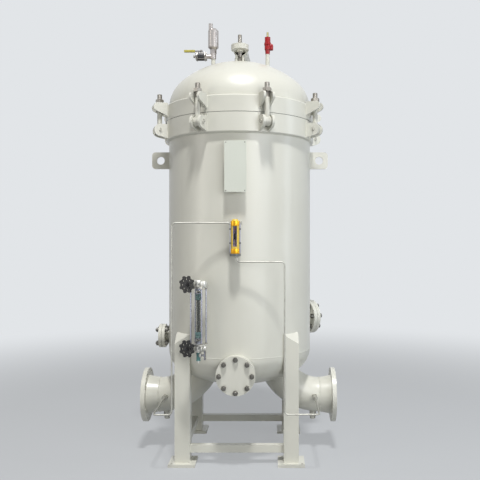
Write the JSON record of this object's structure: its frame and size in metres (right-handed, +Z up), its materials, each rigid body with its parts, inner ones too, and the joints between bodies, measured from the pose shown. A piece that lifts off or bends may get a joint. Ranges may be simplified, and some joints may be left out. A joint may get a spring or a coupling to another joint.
{
  "type": "coalescer separator housing",
  "caption": "Vertical coalescer separator housing on legs, with a swing-bolt closure, a davit, side pipe flanges, a pressure gauge and a sight gauge.",
  "frame": {"origin": "on the floor, in the middle of the four anchor bolts, under the vessel's axis", "axes": "+Z up the vessel's axis; -Y is the front with the nameplate and the gauges; the inlet points to -X and the outlet to +X"},
  "size_m": [1.24, 1.2287, 2.758],
  "materials": {
    "shell_paint": "satin",
    "bare_steel": "satin",
    "bolt_steel": "satin",
    "plate_metal": "satin",
    "gasket_rubber": "matte",
    "gauge_yellow": "gloss",
    "window_glass": "gloss",
    "pointer_black": "matte",
    "wheel_black": "satin",
    "lever_yellow": "satin",
    "valve_black": "satin",
    "valve_red": "gloss",
    "brass": "satin",
    "element_white": "matte"
  },
  "bodies": {
    "vessel": {"shell_course": "shell_paint", "bottom_head": "shell_paint", "shell_ring": "shell_paint", "lower_ears": "shell_paint", "hinge_pins": "bare_steel", "closure_gasket": "gasket_rubber", "support_legs": "shell_paint", "base_plates": "shell_paint", "leg_braces": "shell_paint", "inlet_elbow": "shell_paint", "inlet_flange": "shell_paint", "outlet_elbow": "shell_paint", "outlet_flange": "shell_paint", "pipe_fittings": "bare_steel", "nozzle_necks": "shell_paint", "blind_flanges": "shell_paint", "flange_studs": "bolt_steel", "lifting_lugs": "shell_paint", "nameplate": "plate_metal", "gauge_bracket": "bare_steel", "gauge_body": "gauge_yellow", "gauge_window": "window_glass", "gauge_tubing": "bare_steel", "sight_valves": "bare_steel", "sight_glass": "window_glass", "davit_post": "shell_paint", "deck_plate": "shell_paint", "coalescer_cartridges": "element_white", "separator_cartridges": "element_white"},
    "head": {"dome": "shell_paint", "head_ring": "shell_paint", "upper_ears": "shell_paint", "lift_clevis": "bare_steel", "top_risers": "shell_paint", "air_eliminator": "bare_steel", "vent_valve_body": "valve_black", "relief_valve_body": "valve_red"},
    "wheel_upper": {"handwheel_upper": "wheel_black"},
    "wheel_lower": {"handwheel_lower": "wheel_black"},
    "cock_handle": {"drain_handle": "bare_steel"},
    "lever": {"vent_lever": "lever_yellow"},
    "relief_spindle": {"relief_stem": "brass"},
    "pointer": {"gauge_pointer": "pointer_black"},
    "jack": {"jack_nut": "bolt_steel"},
    "bolt_1": {"swing_bolt_1": "bolt_steel"},
    "nut_1": {"swing_nut_1": "bolt_steel"},
    "bolt_2": {"swing_bolt_2": "bolt_steel"},
    "nut_2": {"swing_nut_2": "bolt_steel"},
    "bolt_3": {"swing_bolt_3": "bolt_steel"},
    "nut_3": {"swing_nut_3": "bolt_steel"},
    "bolt_4": {"swing_bolt_4": "bolt_steel"},
    "nut_4": {"swing_nut_4": "bolt_steel"},
    "bolt_5": {"swing_bolt_5": "bolt_steel"},
    "nut_5": {"swing_nut_5": "bolt_steel"},
    "bolt_6": {"swing_bolt_6": "bolt_steel"},
    "nut_6": {"swing_nut_6": "bolt_steel"},
    "bolt_7": {"swing_bolt_7": "bolt_steel"},
    "nut_7": {"swing_nut_7": "bolt_steel"},
    "bolt_8": {"swing_bolt_8": "bolt_steel"},
    "nut_8": {"swing_nut_8": "bolt_steel"}
  },
  "joints": [
    {"name": "head_lift", "type": "slide", "parent": "vessel", "child": "head", "axis": [0, 0, 1], "range_m": [0, 0.024]},
    {"name": "bolt_swing_1", "type": "hinge", "parent": "vessel", "child": "bolt_1", "pos_m": [-0.21938, -0.47697, 2.028], "axis": [0.9085, -0.4179, 0], "range_deg": [0, 175]},
    {"name": "nut_travel_1", "type": "slide", "parent": "bolt_1", "child": "nut_1", "axis": [0, 0, 1], "range_m": [0, 0.025]},
    {"name": "bolt_swing_2", "type": "hinge", "parent": "vessel", "child": "bolt_2", "pos_m": [0.18214, -0.49239, 2.028], "axis": [0.9379, 0.3469, 0], "range_deg": [0, 175]},
    {"name": "nut_travel_2", "type": "slide", "parent": "bolt_2", "child": "nut_2", "axis": [0, 0, 1], "range_m": [0, 0.025]},
    {"name": "bolt_swing_3", "type": "hinge", "parent": "vessel", "child": "bolt_3", "pos_m": [0.47697, -0.21938, 2.028], "axis": [0.4179, 0.9085, 0], "range_deg": [0, 175]},
    {"name": "nut_travel_3", "type": "slide", "parent": "bolt_3", "child": "nut_3", "axis": [0, 0, 1], "range_m": [0, 0.025]},
    {"name": "bolt_swing_4", "type": "hinge", "parent": "vessel", "child": "bolt_4", "pos_m": [0.49239, 0.18214, 2.028], "axis": [-0.3469, 0.9379, 0], "range_deg": [0, 175]},
    {"name": "nut_travel_4", "type": "slide", "parent": "bolt_4", "child": "nut_4", "axis": [0, 0, 1], "range_m": [0, 0.025]},
    {"name": "bolt_swing_5", "type": "hinge", "parent": "vessel", "child": "bolt_5", "pos_m": [0.21938, 0.47697, 2.028], "axis": [-0.9085, 0.4179, 0], "range_deg": [0, 175]},
    {"name": "nut_travel_5", "type": "slide", "parent": "bolt_5", "child": "nut_5", "axis": [0, 0, 1], "range_m": [0, 0.025]},
    {"name": "bolt_swing_6", "type": "hinge", "parent": "vessel", "child": "bolt_6", "pos_m": [-0.18214, 0.49239, 2.028], "axis": [-0.9379, -0.3469, 0], "range_deg": [0, 175]},
    {"name": "nut_travel_6", "type": "slide", "parent": "bolt_6", "child": "nut_6", "axis": [0, 0, 1], "range_m": [0, 0.025]},
    {"name": "bolt_swing_7", "type": "hinge", "parent": "vessel", "child": "bolt_7", "pos_m": [-0.47697, 0.21938, 2.028], "axis": [-0.4179, -0.9085, 0], "range_deg": [0, 175]},
    {"name": "nut_travel_7", "type": "slide", "parent": "bolt_7", "child": "nut_7", "axis": [0, 0, 1], "range_m": [0, 0.025]},
    {"name": "bolt_swing_8", "type": "hinge", "parent": "vessel", "child": "bolt_8", "pos_m": [-0.49239, -0.18214, 2.028], "axis": [0.3469, -0.9379, 0], "range_deg": [0, 175]},
    {"name": "nut_travel_8", "type": "slide", "parent": "bolt_8", "child": "nut_8", "axis": [0, 0, 1], "range_m": [0, 0.025]},
    {"name": "jack_nut_turn", "type": "hinge", "parent": "vessel", "child": "jack", "pos_m": [0, 0, 2.625], "axis": [0, 0, 1], "range_deg": [0, 2730]},
    {"name": "wheel_upper_turn", "type": "hinge", "parent": "vessel", "child": "wheel_upper", "pos_m": [-0.27239, -0.5346, 1.091], "axis": [-0.454, -0.891, 0], "range_deg": [0, 900]},
    {"name": "wheel_lower_turn", "type": "hinge", "parent": "vessel", "child": "wheel_lower", "pos_m": [-0.27239, -0.5346, 0.726], "axis": [-0.454, -0.891, 0], "range_deg": [0, 900]},
    {"name": "cock_turn", "type": "hinge", "parent": "vessel", "child": "cock_handle", "pos_m": [-0.21179, -0.50376, 0.685], "axis": [0.891, -0.454, 0], "range_deg": [0, 90]},
    {"name": "lever_turn", "type": "hinge", "parent": "head", "child": "lever", "pos_m": [-0.253, 0, 2.576], "axis": [0, 0, 1], "range_deg": [0, 90]},
    {"name": "relief_rise", "type": "slide", "parent": "head", "child": "relief_spindle", "axis": [0, 0, 1], "range_m": [0, 0.004], "stiffness_N_per_m": 4000},
    {"name": "pointer_rise", "type": "slide", "parent": "vessel", "child": "pointer", "axis": [0, 0, 1], "range_m": [-0.055, 0.041], "stiffness_N_per_m": 200}
  ],
  "couplings": [
    {"joint": "bolt_swing_1", "follows": "head_lift", "rad_per_m": 127.2},
    {"joint": "nut_travel_1", "follows": "head_lift", "ratio": 1},
    {"joint": "bolt_swing_2", "follows": "head_lift", "rad_per_m": 127.2},
    {"joint": "nut_travel_2", "follows": "head_lift", "ratio": 1},
    {"joint": "bolt_swing_3", "follows": "head_lift", "rad_per_m": 127.2},
    {"joint": "nut_travel_3", "follows": "head_lift", "ratio": 1},
    {"joint": "bolt_swing_4", "follows": "head_lift", "rad_per_m": 127.2},
    {"joint": "nut_travel_4", "follows": "head_lift", "ratio": 1},
    {"joint": "bolt_swing_5", "follows": "head_lift", "rad_per_m": 127.2},
    {"joint": "nut_travel_5", "follows": "head_lift", "ratio": 1},
    {"joint": "bolt_swing_6", "follows": "head_lift", "rad_per_m": 127.2},
    {"joint": "nut_travel_6", "follows": "head_lift", "ratio": 1},
    {"joint": "bolt_swing_7", "follows": "head_lift", "rad_per_m": 127.2},
    {"joint": "nut_travel_7", "follows": "head_lift", "ratio": 1},
    {"joint": "bolt_swing_8", "follows": "head_lift", "rad_per_m": 127.2},
    {"joint": "nut_travel_8", "follows": "head_lift", "ratio": 1},
    {"joint": "jack_nut_turn", "follows": "head_lift", "rad_per_m": 1979}
  ]
}
